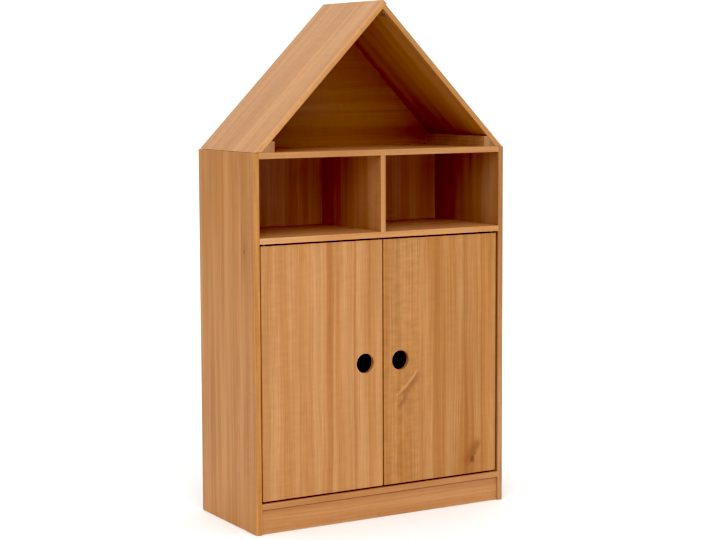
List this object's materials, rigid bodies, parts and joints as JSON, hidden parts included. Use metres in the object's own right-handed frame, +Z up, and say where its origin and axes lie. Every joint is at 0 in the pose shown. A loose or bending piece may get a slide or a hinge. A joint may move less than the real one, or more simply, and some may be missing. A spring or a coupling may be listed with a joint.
{
  "type": "wardrobe",
  "caption": "House-shaped children's wardrobe in pine: pitched roof over an open shelf, open compartments, and a cupboard with hinged doors, finger holes and a clothes rail.",
  "frame": {"origin": "on the floor under the middle of the cabinet's base", "axes": "+Z up, +X to the right seen from the front, +Y from the doors towards the wall behind"},
  "size_m": [0.8, 0.34, 1.4373],
  "materials": {
    "pine": "honey-stained and waxed solid pine, satin",
    "back_panel_veneer": "pine-veneered board, stained honey",
    "beech_dowel": "raw beech",
    "zinc_plated_steel": "bright zinc plate",
    "cast_zinc": "dull die-cast zinc",
    "blackened_steel": "oiled black oxide",
    "brown_nylon": "brown moulded nylon",
    "brown_plastic": "brown moulded plastic",
    "magnet_steel": "dark ferrite magnet"
  },
  "bodies": {
    "cabinet": {"left_side_panel": "pine", "right_side_panel": "pine", "bottom_board": "pine", "middle_shelf": "pine", "top_shelf": "pine", "compartment_divider": "pine", "plinth_board": "pine", "left_roof_panel": "pine", "right_roof_panel": "pine", "left_roof_cleat": "pine", "right_roof_cleat": "pine", "gable_back_panel": "pine", "clothes_rail": "pine", "cabinet_back_panel": "back_panel_veneer", "joint_dowels": "beech_dowel", "catch_screws": "zinc_plated_steel", "rail_socket_screws": "zinc_plated_steel", "wall_bracket_screws": "zinc_plated_steel", "cleat_screws": "zinc_plated_steel", "back_panel_screws": "zinc_plated_steel", "wall_brackets": "zinc_plated_steel", "cam_bolts": "zinc_plated_steel", "cam_locks": "cast_zinc", "pivot_bushes": "brown_nylon", "catch_housing": "brown_plastic", "rail_sockets": "brown_plastic", "catch_magnets": "magnet_steel"},
    "left_door": {"left_door": "pine", "left_pivot_plates": "zinc_plated_steel", "left_pivot_pins": "blackened_steel", "left_pivot_screws": "zinc_plated_steel", "left_strike_plate": "zinc_plated_steel", "left_strike_screw": "zinc_plated_steel"},
    "right_door": {"right_door": "pine", "right_pivot_plates": "zinc_plated_steel", "right_pivot_pins": "blackened_steel", "right_pivot_screws": "zinc_plated_steel", "right_strike_plate": "zinc_plated_steel", "right_strike_screw": "zinc_plated_steel"}
  },
  "joints": [
    {"name": "left_door_hinge", "type": "hinge", "parent": "cabinet", "child": "left_door", "pos_m": [-0.367, -0.157, 0.435], "axis": [0, 0, -1], "range_deg": [0, 110]},
    {"name": "right_door_hinge", "type": "hinge", "parent": "cabinet", "child": "right_door", "pos_m": [0.367, -0.157, 0.435], "axis": [0, 0, 1], "range_deg": [0, 110]}
  ]
}
